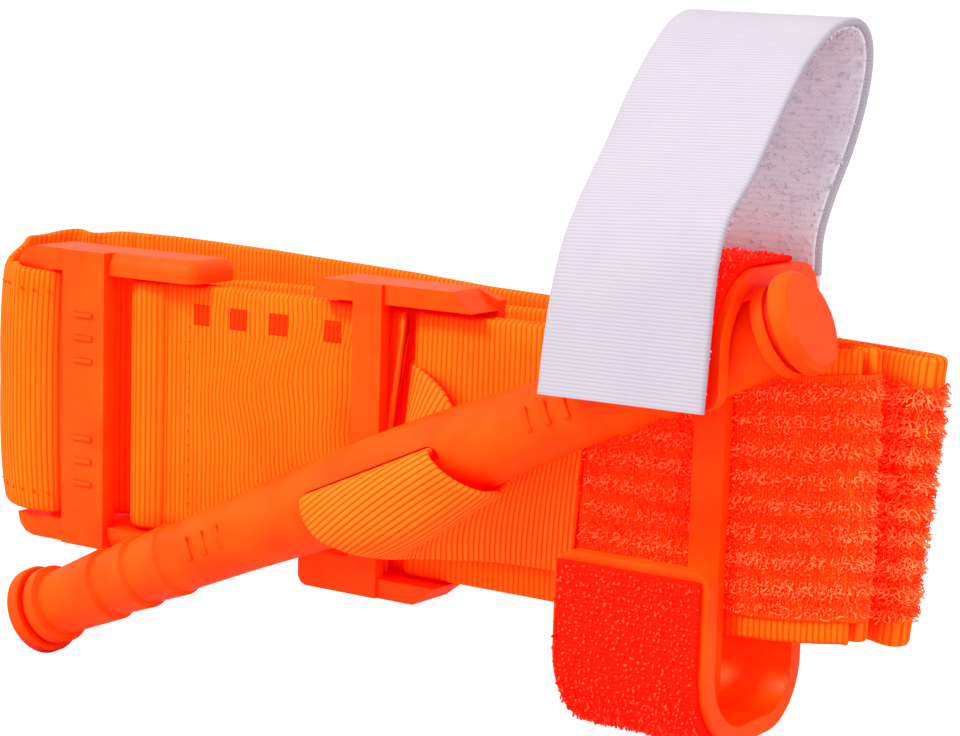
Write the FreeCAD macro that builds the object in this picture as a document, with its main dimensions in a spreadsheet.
import FreeCAD, Part
import Sketcher
import math
import os
import re
from FreeCAD import Placement, Rotation, Vector

# A windlass tourniquet, folded ready for use and standing on its long edge.
# Design frame, in millimetres: X along the band, Y from its face to its back,
# Z across its width. Zero is the face of the front run, at mid-width. The last
# step moves everything so that the origin is the middle of the box's bottom.

doc = FreeCAD.newDocument("tourniquet")

# ---------------------------------------------------------------- dimensions
DIMENSIONS = {
    # webbing
    "band_width": 38.0, "web": 1.3, "layer_gap": 0.6, "clearance": 0.3,
    "band_left": -61.5, "band_right": 57.0, "window_left": -12.0, "window_right": -11.4,
    "fold_left": -54.0, "back_rise": 1.8, "tail_rise": 1.9, "ribbon_width": 25.0,
    # loop pile on the band
    "pile_left": 17.0, "pile_height": 1.2, "pile_half": 15.3,
    # stabilization plate
    "plate_left": -28.4, "plate_right": 22.5, "plate_front": 3.6, "plate_back": 5.4,
    "plate_half": 16.5, "guard_bottom": -22.2, "guard_top": 22.6, "guard_wall": 2.8,
    "guard_front": -3.0, "top_guard_left": -26.9, "top_guard_right": 0.4,
    "low_guard_right": -4.7, "guard_slant": 3.6, "lip_height": 5.4,
    "plate_bar_left": -19.5, "plate_bar_right": -14.5, "plate_bar_front": -3.5,
    "plate_bar_thick": 1.9, "plate_corner": 1.6,
    # windlass clip
    "clip_left": 24.3, "clip_right": 46.8, "clip_front": -17.55, "clip_back": 8.2,
    "clip_half": 30.5, "clip_wall": 2.3, "clip_web": 2.6, "upper_lip": 13.2,
    "lower_lip": -6.7, "clip_bar_left": 35.6, "clip_bar_right": 40.2,
    "clip_bar_front": -3.1, "clip_bar_back": -1.35, "front_bend": 10.0, "back_bend": 5.0,
    "low_front_bend": 11.0, "low_back_bend": 8.5, "low_tape_end": -0.4,
    "lip_corner": 2.5, "tape": 0.9, "tape_end": 2.9, "tape_inset": 0.25, "tape_seat": 0.04,
    # windlass rod: stations along it, and radii
    "rod_half": 69.0, "flange_r": 6.6, "collar_r": 5.9, "neck_r": 5.2, "flange_in": 66.5,
    "neck_in": 65.5, "collar_in": 63.8, "ring_c": 52.2, "ring_b": 45.5, "ring_a": 38.6,
    "ring_low_r": 4.9, "ring_high_r": 5.5, "body_end_r": 5.05, "body_mid_r": 5.45,
    "body_mid": 26.0, "belly_r": 6.4, "belly": 11.0, "ring_step": 0.45,
    "slot_left": -10.2, "slot_right": 14.3, "slot_high": 3.8, "flange_round": 0.7, "rim_break": 0.3,
    "rod_x": -8.45, "rod_y": -10.6, "rod_z": -3.425, "rod_pitch": 24.25, "rod_yaw": 1.91,
    # buckle
    "rail_left": -84.5, "rail_right": -49.2, "rail_front": -3.3, "rail_back": 7.5,
    "rail_in": 19.4, "rail_out": 22.8, "face_bar_left": -74.5, "face_bar_right": -66.0,
    "face_bar_front": -4.1, "face_bar_back": -1.3, "tail_bar_left": -84.5,
    "tail_bar_right": -81.6, "tail_bar_front": 3.6, "tail_bar_back": 7.0,
    "hinge_bar_r": 1.6, "rail_corner": 2.2, "rail_end": 3.2, "fold_r": 2.65,
    # windlass strap and its lining
    "strap_left": 22.0, "strap_width": 25.0, "strap_thick": 1.2, "lining_thick": 0.8,
    "tab_bottom": 21.5, "tab_top": 27.9, "tab_thick": 1.1,
    # small trim
    "square": 3.0, "square_z": 14.6, "trim": 0.3, "stitch_high": 1.2, "stitch_inset": 3.2,
    # from the design frame to the handed-in frame
    "origin_x": 16.07, "origin_y": -0.63, "origin_z": 37.49,
}

sheet = doc.addObject("Spreadsheet::Sheet", "sizes")
for row, (alias, value) in enumerate(DIMENSIONS.items(), start=1):
    sheet.set(f"A{row}", alias)
    sheet.set(f"B{row}", str(value))
    sheet.setAlias(f"B{row}", alias)
doc.recompute()

nodes = {}


def bound(text):
    """An expression on the sheet's aliases, as any other object must write it."""
    return re.sub(r"\b([a-z][a-z_]*)\b", r"sizes.\1", text)


def size(text):
    """The number that an expression on the sheet's aliases gives."""
    return float(sheet.evalExpression(text))


def keep(obj, name):
    """Name an object as a sub-part."""
    obj.Label = name
    nodes[name] = obj
    return obj


# ------------------------------------------------- helpers for PartDesign bodies
def new_body(name):
    return keep(doc.addObject("PartDesign::Body", name), name)


def outline(body, plane, corners, offset="0"):
    """A closed sketch of straight sides, each corner bound to two expressions."""
    sketch = body.newObject("Sketcher::SketchObject", body.Label + "_outline")
    base = [f for f in body.Origin.OriginFeatures if f.Role == plane + "_Plane"][0]
    sketch.AttachmentSupport = [(base, "")]
    sketch.MapMode = "FlatFace"
    sketch.setExpression(".AttachmentOffset.Base.z", bound(offset))
    places = [Vector(size(across), size(up), 0) for across, up in corners]
    for index, place in enumerate(places):
        sketch.addGeometry(Part.LineSegment(place, places[(index + 1) % len(places)]))
    for index in range(len(places)):
        following = (index + 1) % len(places)
        sketch.addConstraint(Sketcher.Constraint("Coincident", index, 2, following, 1))
    for index, (across, up) in enumerate(corners):
        for kind, text in (("DistanceX", across), ("DistanceY", up)):
            rule = Sketcher.Constraint(kind, -1, 1, index, 1, size(text))
            number = sketch.addConstraint(rule)
            sketch.setExpression(f"Constraints[{number}]", bound(text))
    return sketch


def rectangle(low_across, low_up, high_across, high_up):
    return [(low_across, low_up), (high_across, low_up),
            (high_across, high_up), (low_across, high_up)]


def pad(body, plane, corners, low, high):
    """Pad an outline between two distances along the third axis."""
    # An XZ sketch's normal points along -Y, the other two point along + axes.
    start = f"-({high})" if plane == "XZ" else low
    sketch = outline(body, plane, corners, start)
    feature = body.newObject("PartDesign::Pad", body.Label + "_pad")
    feature.Profile = sketch
    feature.setExpression("Length", bound(f"({high}) - ({low})"))
    doc.recompute()
    return feature


def pocket(body, plane, corners, low, high):
    """Cut an outline out between two distances along the third axis."""
    before = body.Shape.Volume
    start = f"-({low})" if plane == "XZ" else high
    sketch = outline(body, plane, corners, start)
    feature = body.newObject("PartDesign::Pocket", body.Label + "_pocket")
    feature.Profile = sketch
    feature.setExpression("Length", bound(f"({high}) - ({low})"))
    doc.recompute()
    if not body.Shape.Volume < before - 1e-3:
        raise RuntimeError(f"{body.Label}: a pocket removed nothing")
    return feature


def round_edges(body, radius, wanted):
    """Fillet the edges of a body's tip that the test picks by their ends."""
    tip = body.Tip
    picked = []
    for number, edge in enumerate(tip.Shape.Edges, start=1):
        ends = [vertex.Point for vertex in edge.Vertexes]
        if len(ends) == 2 and wanted(ends[0], ends[1]):
            picked.append(f"Edge{number}")
    if not picked:
        raise RuntimeError(f"{body.Label}: no edge to round")
    feature = body.newObject("PartDesign::Fillet", body.Label + "_fillet")
    feature.Base = (tip, picked)
    feature.setExpression("Radius", bound(radius))
    doc.recompute()
    return feature


def near(value, text):
    return abs(value - size(text)) < 0.02


def along_x(first, second):
    return abs(first.y - second.y) < 0.01 and abs(first.z - second.z) < 0.01


def along_y(first, second):
    return abs(first.x - second.x) < 0.01 and abs(first.z - second.z) < 0.01


def along_z(first, second):
    return abs(first.x - second.x) < 0.01 and abs(first.y - second.y) < 0.01


# ---------------------------------------------------------- helpers for webbing
def slab(name, low, high):
    """A flat piece of webbing, tape or pile: a box between two corners."""
    box = keep(doc.addObject("Part::Box", name), name)
    for prop, axis, bottom, top in zip(("Length", "Width", "Height"), "xyz", low, high):
        box.setExpression(prop, bound(f"({top}) - ({bottom})"))
        box.setExpression(f".Placement.Base.{axis}", bound(bottom))
    return box


def webbing_shape(route, thickness, low, high, across="z"):
    """Webbing that follows a route: across "z" the route is in XY, across "x" in YZ."""
    points = [Vector(first, second, 0) for first, second in route]
    middle = Part.BSplineCurve()
    middle.interpolate(points)
    sides = []
    for way in (-0.5, 0.5):
        side = []
        for point in points:
            heading = middle.tangent(middle.parameter(point))[0]
            side.append(point + Vector(-heading.y, heading.x, 0) * (way * thickness))
        curve = Part.BSplineCurve()
        curve.interpolate(side)
        sides.append((curve.toShape(), side))
    (near_edge, near_points), (far_edge, far_points) = sides
    ends = [Part.makeLine(near_points[0], far_points[0]),
            Part.makeLine(near_points[-1], far_points[-1])]
    wire = Part.Wire(Part.__sortEdges__([near_edge, far_edge] + ends))
    solid = Part.Face(wire).extrude(Vector(0, 0, high - low))
    if across == "z":
        solid.translate(Vector(0, 0, low))
    else:
        # A third of a turn about the diagonal takes (first, second, rise) to (Y, Z, X).
        solid.Placement = Placement(Vector(low, 0, 0), Rotation(Vector(1, 1, 1), 120))
    if solid.Volume < 0:
        solid.reverse()
    return solid


def webbing(name, route, thickness, low, high, across="z"):
    feature = keep(doc.addObject("Part::Feature", name), name)
    feature.Shape = webbing_shape(route, size(thickness), size(low), size(high), across)
    return feature


def offset_route(route, distance):
    """The same route, moved sideways to its left by a distance."""
    points = [Vector(first, second, 0) for first, second in route]
    middle = Part.BSplineCurve()
    middle.interpolate(points)
    moved = []
    for point in points:
        heading = middle.tangent(middle.parameter(point))[0]
        place = point + Vector(-heading.y, heading.x, 0) * distance
        moved.append((place.x, place.y))
    return moved


# ----------------------------------------------------------- stabilization plate
# A thin plate behind the band, with a guard over each edge of the band and one
# bar across its face.
plate = new_body("stabilization_plate")
pad(plate, "XZ", rectangle("plate_left", "-plate_half", "plate_right", "plate_half"),
    "plate_front", "plate_back")
pad(plate, "XZ", [("top_guard_left", "plate_half - 1"), ("top_guard_right", "plate_half - 1"),
                  ("top_guard_right", "guard_top - guard_wall / 2"),
                  ("top_guard_right - guard_slant", "guard_top"),
                  ("top_guard_left", "guard_top")], "plate_front", "plate_back")
pad(plate, "XZ", [("plate_left", "guard_bottom"), ("low_guard_right - guard_slant", "guard_bottom"),
                  ("low_guard_right", "guard_bottom + guard_wall"),
                  ("low_guard_right", "1 - plate_half"), ("plate_left", "1 - plate_half")],
    "plate_front", "plate_back")
pad(plate, "XZ", [("top_guard_left", "guard_top - guard_wall"),
                  ("top_guard_right", "guard_top - guard_wall"),
                  ("top_guard_right - guard_slant", "guard_top"),
                  ("top_guard_left", "guard_top")], "guard_front", "plate_back")
pad(plate, "XZ", [("plate_left", "guard_bottom"), ("low_guard_right - guard_slant", "guard_bottom"),
                  ("low_guard_right", "guard_bottom + guard_wall"),
                  ("plate_left", "guard_bottom + guard_wall")], "guard_front", "plate_back")
pad(plate, "XZ", rectangle("plate_left", "guard_bottom", "plate_bar_right",
                           "guard_bottom + lip_height"),
    "plate_bar_front", "plate_bar_front + plate_bar_thick")
pad(plate, "XZ", rectangle("plate_bar_left", "guard_bottom", "plate_bar_right", "guard_top"),
    "plate_bar_front", "plate_bar_front + plate_bar_thick")
round_edges(plate, "plate_corner", lambda a, b: along_y(a, b) and near(a.x, "plate_left")
            and near(a.z, "guard_bottom"))
round_edges(plate, "plate_corner", lambda a, b: along_y(a, b) and near(a.x, "top_guard_left")
            and near(a.z, "guard_top"))

# ----------------------------------------------------------------- windlass clip
# Two hooks, one above and one below the band, that open towards each other, on a
# shared back wall. A bar crosses the face of the band between them.
clip = new_body("windlass_clip")
pad(clip, "YZ", [
    ("clip_front", "upper_lip"), ("clip_front", "clip_half"), ("clip_back", "clip_half"),
    ("clip_back", "-clip_half"), ("clip_front", "-clip_half"), ("clip_front", "lower_lip"),
    ("clip_front + clip_wall", "lower_lip"), ("clip_front + clip_wall", "clip_wall - clip_half"),
    ("clip_back - clip_web", "clip_wall - clip_half"),
    ("clip_back - clip_web", "clip_half - clip_wall"),
    ("clip_front + clip_wall", "clip_half - clip_wall"),
    ("clip_front + clip_wall", "upper_lip")], "clip_left", "clip_right")
for bend, wall, side, outer, inner in (
        ("front_bend", "clip_wall", "", "clip_front", "clip_front + clip_wall"),
        ("low_front_bend", "clip_wall", "-", "clip_front", "clip_front + clip_wall"),
        ("back_bend", "clip_web", "", "clip_back", "clip_back - clip_web"),
        ("low_back_bend", "clip_web", "-", "clip_back", "clip_back - clip_web")):
    round_edges(clip, bend, lambda a, b: along_x(a, b) and near(a.y, outer)
                and near(a.z, f"{side}clip_half"))
    round_edges(clip, f"{bend} - {wall}", lambda a, b: along_x(a, b) and near(a.y, inner)
                and near(a.z, f"{side}(clip_half - clip_wall)"))
for lip in ("upper_lip", "lower_lip"):
    round_edges(clip, "lip_corner", lambda a, b: along_y(a, b) and near(a.z, lip))
pad(clip, "XZ", rectangle("clip_bar_left", "clip_wall / 2 - clip_half", "clip_bar_right",
                          "clip_half - clip_wall / 2"), "clip_bar_front", "clip_bar_back")


# -------------------------------------------------------- hook tape on the hooks
def hook_tape(name, lip, side, bend, end):
    """Tape on a hook's face and over its bend; side is "-" for the lower hook."""
    tape = new_body(name)
    corners = [("clip_front - tape", lip), ("clip_front - tape", f"{side}(clip_half + tape)"),
               (end, f"{side}(clip_half + tape)"),
               (end, f"{side}(clip_half + tape_seat)"),
               ("clip_front - tape_seat", f"{side}(clip_half + tape_seat)"),
               ("clip_front - tape_seat", lip)]
    pad(tape, "YZ", corners, "clip_left + tape_inset", "clip_right - tape_inset")
    round_edges(tape, f"{bend} + tape", lambda a, b: along_x(a, b)
                and near(a.y, "clip_front - tape") and near(abs(a.z), "clip_half + tape"))
    round_edges(tape, f"{bend} + tape_seat", lambda a, b: along_x(a, b)
                and near(a.y, "clip_front - tape_seat")
                and near(abs(a.z), "clip_half + tape_seat"))
    return tape


hook_tape("upper_hook_tape", "upper_lip + tape_inset", "", "front_bend", "tape_end")
hook_tape("lower_hook_tape", "lower_lip - tape_inset", "-", "low_front_bend",
          "low_tape_end")

# ------------------------------------------------------------------ windlass rod
# Turned about its own X axis: a belly round the slot, and on each end three
# stepped grip rings, a collar, a neck and a flange.
rod = new_body("windlass_rod")
HALF_PROFILE = [
    ("0", "belly_r"), ("belly", "belly_r - 0.15"), ("body_mid", "body_mid_r"),
    ("ring_a", "body_end_r"), ("ring_a + ring_step", "ring_high_r"),
    ("ring_b", "ring_low_r"), ("ring_b + ring_step", "ring_high_r"),
    ("ring_c", "ring_low_r"), ("ring_c + ring_step", "ring_high_r"),
    ("collar_in - ring_step", "ring_low_r"), ("collar_in", "collar_r"),
    ("neck_in", "collar_r"), ("neck_in", "neck_r"), ("flange_in", "neck_r"),
    ("flange_in", "flange_r - rim_break"), ("flange_in + rim_break", "flange_r"),
    ("rod_half - flange_round", "flange_r"), ("rod_half", "flange_r - flange_round")]
right_side = [("rod_half", "0")] + HALF_PROFILE[::-1]
left_side = [(f"-({along})", radius) for along, radius in HALF_PROFILE[1:]]
profile = outline(rod, "XZ", right_side + left_side + [("-rod_half", "0")])
turned = rod.newObject("PartDesign::Revolution", "windlass_rod_turned")
turned.Profile = profile
turned.ReferenceAxis = (profile, ["H_Axis"])
turned.Angle = 360
doc.recompute()
pocket(rod, "XZ", rectangle("slot_left", "-slot_high / 2", "slot_right", "slot_high / 2"),
       "-belly_r - 1", "belly_r + 1")
round_edges(rod, "slot_high / 2 - 0.05", lambda a, b: along_y(a, b)
            and near(abs(a.z), "slot_high / 2"))

# ------------------------------------------------------------------------ buckle
# Two rails joined by three bars: the hinge bar in the band's sewn fold, the face
# bar, and the outer bar that the tail wraps.
buckle = new_body("buckle")
rail = rectangle("rail_left", "rail_front", "rail_right", "rail_back")
pad(buckle, "XY", rail, "rail_in", "rail_out")
pad(buckle, "XY", rectangle("face_bar_left", "face_bar_front", "face_bar_right", "face_bar_back"),
    "-rail_out", "rail_out")
pad(buckle, "XY", rail, "-rail_out", "-rail_in")
pad(buckle, "XY", rectangle("tail_bar_left", "tail_bar_front", "tail_bar_right", "tail_bar_back"),
    "-rail_out", "rail_out")
round_edges(buckle, "rail_corner", lambda a, b: along_y(a, b) and near(a.x, "rail_right")
            and near(abs(a.z), "rail_out"))
round_edges(buckle, "rail_corner", lambda a, b: along_z(a, b) and near(a.x, "rail_right"))
for side in ("", "-"):
    # Each rail's left end is cut back in three short facets.
    pocket(buckle, "XZ", [
        ("rail_left - 1", f"{side}(rail_out - rail_end)"),
        ("rail_left", f"{side}(rail_out - rail_end)"),
        ("rail_left + 0.15 * rail_end", f"{side}(rail_out - 0.5 * rail_end)"),
        ("rail_left + 0.5 * rail_end", f"{side}(rail_out - 0.15 * rail_end)"),
        ("rail_left + rail_end", f"{side}rail_out"),
        ("rail_left + rail_end", f"{side}(rail_out + 1)"),
        ("rail_left - 1", f"{side}(rail_out + 1)")], "rail_front - 2", "rail_back + 1")
hinge_disc = buckle.newObject("PartDesign::AdditiveCylinder", "buckle_hinge_bar")
hinge_disc.setExpression("Radius", bound("hinge_bar_r"))
hinge_disc.setExpression("Height", bound("2 * rail_in + 1"))
hinge_disc.setExpression(".AttachmentOffset.Base.x", bound("band_left"))
hinge_disc.setExpression(".AttachmentOffset.Base.y", bound("web + layer_gap / 2"))
hinge_disc.setExpression(".AttachmentOffset.Base.z", bound("-rail_in - 0.5"))
hinge_disc.AttachmentSupport = [([f for f in buckle.Origin.OriginFeatures
                                  if f.Role == "XY_Plane"][0], "")]
hinge_disc.MapMode = "FlatFace"
doc.recompute()

# -------------------------------------------------------- the band's front run
slab("band_front_left", ("fold_left", "0", "-band_width / 2"),
     ("window_left", "web", "band_width / 2"))
slab("band_front_right", ("window_right", "0", "-band_width / 2"),
     ("band_right", "web", "band_width / 2"))
slab("band_rear_layer", ("fold_left", "web + layer_gap", "-band_width / 2"),
     ("band_right - 2.4", "2 * web + layer_gap", "band_width / 2"))
slab("loop_pile_front", ("pile_left", "-pile_height", "-pile_half"),
     ("band_right", "0", "pile_half"))

# The sewn fold at the band's end runs round the buckle's hinge bar.
middle_y = size("web + layer_gap / 2")
fold_r = size("fold_r")
bar_x = size("band_left")
flat_y = size("web / 2")
fold_half = [(size("fold_left - clearance"), flat_y), (bar_x + 3.4, middle_y - fold_r + 0.35),
             (bar_x, middle_y - fold_r)]
fold_other = [(across, 2 * middle_y - depth) for across, depth in reversed(fold_half)]
webbing("band_end_fold", fold_half + [(bar_x - fold_r, middle_y)] + fold_other, "web",
        "-band_width / 2", "band_width / 2")

# ------------------------------------------- the band's turn and its return run
# The band turns back at the right end, and runs behind the clip to the buckle.
BACK_LOW = "back_rise - band_width / 2"
BACK_HIGH = "back_rise + band_width / 2"
turn_route = [(size("band_right - 1.5"), 2.55), (57.3, 2.9), (57.4, 4.0), (55.9, 5.4), (53.4, 6.9)]
webbing("band_turn", turn_route, "web", BACK_LOW, BACK_HIGH)
return_route = [(52.9, 7.2), (50.0, 8.5), (45.0, 9.8), (35.0, 10.5), (20.0, 11.3), (0.0, 12.7),
                (-25.0, 14.6), (-48.0, 15.0), (-60.0, 13.6)]
webbing("band_return_run", return_route, "web", BACK_LOW, BACK_HIGH)

# --------------------------------------------------------------- the band's tail
# From the return run it goes out through the buckle, round the outer bar with
# some slack, and back along the outside to its own fold and its tip.
TAIL_LOW = "tail_rise - band_width / 2"
TAIL_HIGH = "tail_rise + band_width / 2"
wrap_route = [(-60.4, 13.5), (-66.5, 10.2), (-71.5, 4.5), (-75.2, 0.3), (-79.0, -3.2),
              (-84.0, -4.3), (-89.5, -2.2), (-93.4, 2.5), (-94.4, 8.0), (-92.3, 13.4),
              (-87.0, 17.4), (-80.6, 19.5)]
webbing("tail_wrap", wrap_route, "web", "-band_width / 2", "band_width / 2")
run_route = [(-79.3, 19.85), (-70.0, 20.9), (-50.0, 19.9), (-25.0, 18.4), (5.0, 15.9),
             (35.0, 13.2), (48.0, 11.5), (56.7, 9.4), (60.2, 8.0)]
webbing("tail_run", run_route, "web", TAIL_LOW, TAIL_HIGH)
webbing("tail_turn", [(60.4, 7.9), (61.8, 8.3), (62.3, 9.9), (61.0, 11.5), (58.1, 12.6)], "web",
        TAIL_LOW, TAIL_HIGH)
stowed_route = [(57.9, 12.68), (48.0, 14.5), (35.0, 16.0), (5.0, 18.7), (-20.0, 20.8)]
webbing("tail_stowed_run", stowed_route, "web", TAIL_LOW, TAIL_HIGH)
webbing("tail_tip_tab", [(-20.2, 20.82), (-26.0, 21.2), (-33.0, 21.5)], "web + 2 * layer_gap",
        TAIL_LOW, TAIL_HIGH)
pile_route = [(55.1, 8.66), (57.0, 8.06), (59.5, 7.0)]
webbing("loop_pile_tail", pile_route, "pile_height - clearance", "tail_rise - pile_half",
        "tail_rise + pile_half")
stitch_route = offset_route(wrap_route[3:9], -0.97)
for name, height in (("tail_top_stitching", "band_width / 2 - stitch_inset"),
                     ("tail_bottom_stitching", "stitch_inset - band_width / 2")):
    webbing(name, stitch_route, "trim", f"{height} - stitch_high / 2",
            f"{height} + stitch_high / 2")


# -------------------------------------------------------------- tension ribbon
# The inner ribbon leaves the band at the window, passes through the rod's slot
# and goes back in under the loop pile.
def ribbon_sheet(name, corners):
    ribbon = new_body(name)
    pad(ribbon, "XZ", corners, "-pile_height - web / 4", "-web / 4")
    return ribbon


ribbon_sheet("tension_ribbon_left", [
    ("window_left - 1", "band_width / 2 - 3"), ("window_left - 1", "-band_width / 4"),
    ("window_left + 9", "-band_width / 3"), ("window_left + 15", "band_width / 8")])
ribbon_sheet("tension_ribbon_right", [
    ("window_left + 16", "band_width / 8"), ("window_left + 10", "-band_width / 3"),
    ("window_left + 4", "1.5 - band_width / 2"), ("pile_left - clearance", "3 - band_width / 2"),
    ("pile_left - clearance", "-band_width / 12")])
slot_ribbon = slab("tension_ribbon_slot", ("slot_left + 3 * clearance", "-belly_r", "-web"),
                   ("slot_right - 3 * clearance", "belly_r", "web"))

# ----------------------------------------------------- windlass strap and lining
# Seen along X: up the outside of the clip, over the top, and down to its root.
STRAP_ROUTE = [(-20.9, 13.9), (-20.5, 21.0), (-19.4, 28.5), (-17.6, 33.5), (-15.2, 37.2),
               (-10.4, 41.6), (-5.4, 47.2), (-0.4, 53.0), (4.3, 57.2), (10.0, 60.3),
               (16.3, 61.2), (20.0, 59.4), (21.1, 55.6), (19.8, 50.2), (16.5, 44.3),
               (12.0, 38.2), (9.4, 33.5), (8.9, 29.6)]
webbing("windlass_strap", STRAP_ROUTE, "strap_thick", "strap_left", "strap_left + strap_width",
        across="x")
lining_offset = -size("strap_thick / 2 + lining_thick / 2 + tape_seat")
webbing("windlass_strap_lining", offset_route(STRAP_ROUTE[:-3], lining_offset), "lining_thick",
        "strap_left + tape", "strap_left + strap_width - tape", across="x")
slab("strap_root_tab", ("strap_left + 1", "clip_back + tape_seat", "tab_bottom"),
     ("strap_left + strap_width - 1", "clip_back + tape_seat + tab_thick", "tab_top"))


# ------------------------------------------------------------------- small trim
def group(name, boxes):
    """Several separate small solids in one node, each a box bound to the sheet."""
    pieces = []
    for index, (low, high) in enumerate(boxes):
        piece = doc.addObject("Part::Box", f"{name}_{index}")
        for prop, axis, bottom, top in zip(("Length", "Width", "Height"), "xyz", low, high):
            piece.setExpression(prop, bound(f"({top}) - ({bottom})"))
            piece.setExpression(f".Placement.Base.{axis}", bound(bottom))
        pieces.append(piece)
    compound = keep(doc.addObject("Part::Compound", name), name)
    compound.Links = pieces
    return compound


SQUARE_CENTRES = (-50.1, -42.8, -35.6, -25.6)
group("woven_squares", [
    ((f"{centre} - square / 2", "-trim", "square_z - square / 2"),
     (f"{centre} + square / 2", "-0.02", "square_z + square / 2")) for centre in SQUARE_CENTRES])
group("strap_root_stitching", [
    (("strap_left + 3", "clip_back + tab_thick + 0.06", f"{height}"),
     ("strap_left + strap_width - 3", "clip_back + tab_thick + trim", f"{height} + 0.8"))
    for height in ("tab_bottom + 1.5", "tab_top - 2.3")])
group("band_end_stitching", [
    ((f"fold_left + {step}", "-trim", "stitch_inset - band_width / 2"),
     (f"fold_left + {step} + 0.8", "-0.02", "band_width / 2 - stitch_inset - 5"))
    for step in (0.6, 2.2)])

# -------------------------------------------------------------- place and write
shift = Vector(size("origin_x"), size("origin_y"), size("origin_z"))
rod_turn = Rotation(Vector(0, 0, 1), size("rod_yaw")).multiply(
    Rotation(Vector(0, 1, 0), -size("rod_pitch")))
rod_place = Placement(Vector(size("rod_x"), size("rod_y"), size("rod_z")) + shift, rod_turn)
doc.recompute()
for name, obj in nodes.items():
    if name == "windlass_rod":
        obj.Placement = rod_place
    elif name == "tension_ribbon_slot":
        for axis in "xyz":
            obj.setExpression(f".Placement.Base.{axis}", None)
        obj.Placement = rod_place.multiply(obj.Placement)
    elif obj.TypeId == "Part::Box":
        for axis in "xyz":
            start = obj.ExpressionEngine[[path for path, _ in obj.ExpressionEngine].index(
                f".Placement.Base.{axis}")][1]
            obj.setExpression(f".Placement.Base.{axis}", f"{start} + sizes.origin_{axis}")
    else:
        obj.Placement = Placement(shift, Rotation()).multiply(obj.Placement)
doc.recompute()

for obj in doc.Objects:
    if "Invalid" in obj.State or "Error" in obj.State:
        raise RuntimeError(f"{obj.Label} did not recompute: {obj.State}")
whole = FreeCAD.BoundBox()
for name, obj in nodes.items():
    if obj.Shape.isNull() or not obj.Shape.isValid():
        raise RuntimeError(f"{name} has no valid shape")
    whole.add(obj.Shape.BoundBox)
    print(f"{name}: {len(obj.Shape.Solids)} solid(s), {obj.Shape.Volume:.0f} mm3")
middle = whole.Center
print(f"{len(nodes)} nodes, box {whole.XLength:.1f} x {whole.YLength:.1f} x {whole.ZLength:.1f} mm,")
print(f"bottom centre at {middle.x:.2f}, {middle.y:.2f}, {whole.ZMin:.2f}")

os.makedirs("parts", exist_ok=True)
for name, obj in nodes.items():
    obj.Shape.exportStep(f"parts/{name}.step")
